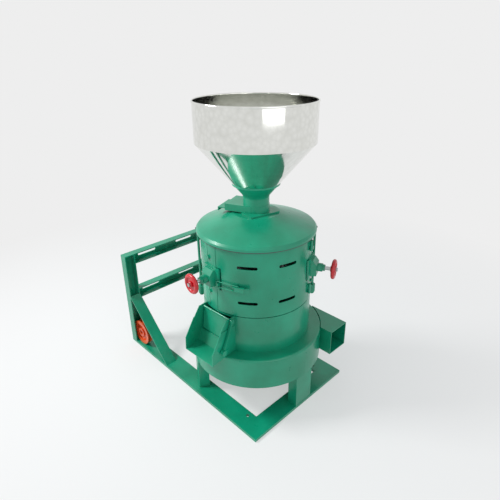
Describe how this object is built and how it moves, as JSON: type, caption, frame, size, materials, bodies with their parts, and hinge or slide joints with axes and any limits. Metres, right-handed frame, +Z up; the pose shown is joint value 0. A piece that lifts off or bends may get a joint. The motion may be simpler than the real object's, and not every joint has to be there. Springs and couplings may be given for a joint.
{
  "type": "rice huller",
  "caption": "Upright rice mill: feed hopper on a domed casing, door with toggle latch, handwheel blade screws, outlet chute, bran duct and a base with a slotted motor stand.",
  "frame": {"origin": "centre of the foundation-bolt rectangle, on the floor under the base rails", "axes": "+X from the motor stand towards the front rail, +Y towards the side with the bran duct, +Z up along the spindle"},
  "size_m": [0.8952, 0.5861, 1.1681],
  "materials": {
    "green_enamel": "gloss enamel",
    "bright_steel": "turned and ground",
    "cast_iron": "machined casting",
    "emery": "coarse emery cast on an iron core",
    "red_enamel": "gloss enamel",
    "black_rubber": "moulded",
    "galvanised_sheet": "bright galvanised sheet",
    "orange_primer": "matt primer"
  },
  "bodies": {
    "frame": {"base_rail_front": "green_enamel", "base_rail_left": "green_enamel", "base_rail_right": "green_enamel", "bearing_housing": "cast_iron", "bran_duct": "green_enamel", "bran_pan": "green_enamel", "cover_left_rear": "green_enamel", "cover_right_rear": "green_enamel", "dome_cover": "green_enamel", "feed_hopper": "galvanised_sheet", "feed_neck": "green_enamel", "grain_bowl": "cast_iron", "grain_spout": "green_enamel", "hinge_leaves": "green_enamel", "leg_front": "green_enamel", "leg_left": "green_enamel", "leg_right": "green_enamel", "lock_nuts": "bright_steel", "lower_casing": "green_enamel", "motor_bar_lower": "green_enamel", "motor_bar_upper": "green_enamel", "motor_brace_left": "green_enamel", "motor_brace_right": "green_enamel", "motor_post_left": "green_enamel", "motor_post_right": "green_enamel", "motor_pulley": "orange_primer", "outlet_chute": "green_enamel", "pan_floor": "green_enamel", "post_bolts": "bright_steel", "post_left": "green_enamel", "post_rear": "green_enamel", "post_right": "green_enamel", "rice_screens": "bright_steel", "screw_bracket_left": "green_enamel", "screw_bracket_rear": "green_enamel", "screw_bracket_right": "green_enamel", "spindle_bearings": "bright_steel", "tie_rods": "green_enamel", "upper_bearing_bracket": "cast_iron"},
    "spindle": {"spindle_shaft": "bright_steel", "emery_roller": "emery", "feed_auger": "cast_iron", "bran_sweeper": "cast_iron", "spindle_pulley": "cast_iron"},
    "gate": {"feed_slide": "bright_steel"},
    "door": {"front_door": "green_enamel", "latch_base": "green_enamel"},
    "latch_lever": {"latch_lever": "green_enamel"},
    "latch_bail": {"latch_bail": "bright_steel"},
    "flap": {"outlet_flap": "green_enamel", "flap_lever": "bright_steel"},
    "blade_left": {"rubber_blade_left": "black_rubber"},
    "wheel_left": {"adjusting_screw_left": "bright_steel", "handwheel_left": "red_enamel"},
    "blade_right": {"rubber_blade_right": "black_rubber"},
    "wheel_right": {"adjusting_screw_right": "bright_steel", "handwheel_right": "red_enamel"},
    "blade_rear": {"rubber_blade_rear": "black_rubber"},
    "wheel_rear": {"adjusting_screw_rear": "bright_steel", "handwheel_rear": "red_enamel"}
  },
  "joints": [
    {"name": "spindle_spin", "type": "hinge", "parent": "frame", "child": "spindle", "pos_m": [0.14, 0.0105, 0.1], "axis": [0, 0, 1], "continuous": true},
    {"name": "blade_left_slide", "type": "slide", "parent": "frame", "child": "blade_left", "axis": [-0.061, -0.9981, 0], "range_m": [-0.005, 0.008]},
    {"name": "wheel_left_turn", "type": "hinge", "parent": "blade_left", "child": "wheel_left", "pos_m": [0.12138, -0.29393, 0.568], "axis": [-0.061, -0.9981, 0], "range_deg": [-594, 954]},
    {"name": "blade_right_slide", "type": "slide", "parent": "frame", "child": "blade_right", "axis": [0.8949, 0.4462, 0], "range_m": [-0.005, 0.008]},
    {"name": "wheel_right_turn", "type": "hinge", "parent": "blade_right", "child": "wheel_right", "pos_m": [0.41296, 0.14659, 0.568], "axis": [0.8949, 0.4462, 0], "range_deg": [-594, 954]},
    {"name": "blade_rear_slide", "type": "slide", "parent": "frame", "child": "blade_rear", "axis": [-0.8339, 0.5519, 0], "range_m": [-0.005, 0.008]},
    {"name": "wheel_rear_turn", "type": "hinge", "parent": "blade_rear", "child": "wheel_rear", "pos_m": [-0.11434, 0.17884, 0.568], "axis": [-0.8339, 0.5519, 0], "range_deg": [-594, 954]},
    {"name": "feed_slide_travel", "type": "slide", "parent": "frame", "child": "gate", "axis": [-0.9272, -0.3746, 0], "range_m": [0, 0.095]},
    {"name": "door_swing", "type": "hinge", "parent": "frame", "child": "door", "pos_m": [0.34849, 0.08675, 0.56], "axis": [0, 0, 1], "range_deg": [0, 95]},
    {"name": "latch_lever_turn", "type": "hinge", "parent": "door", "child": "latch_lever", "pos_m": [0.23152, -0.19505, 0.552], "axis": [0, 0, -1], "range_deg": [0, 150]},
    {"name": "latch_bail_turn", "type": "hinge", "parent": "latch_lever", "child": "latch_bail", "pos_m": [0.24755, -0.18681, 0.552], "axis": [0, 0, 1], "range_deg": [0, 182]},
    {"name": "flap_swing", "type": "hinge", "parent": "frame", "child": "flap", "pos_m": [0.14771, -0.21036, 0.421], "axis": [-0.9994, -0.0349, 0], "range_deg": [0, 60]}
  ],
  "couplings": [
    {"joint": "blade_left_slide", "follows": "wheel_left_turn", "m_per_rad": 0.00047746},
    {"joint": "blade_right_slide", "follows": "wheel_right_turn", "m_per_rad": 0.00047746},
    {"joint": "blade_rear_slide", "follows": "wheel_rear_turn", "m_per_rad": 0.00047746},
    {"joint": "latch_bail_turn", "follows": "latch_lever_turn", "ratio": 1.2}
  ]
}
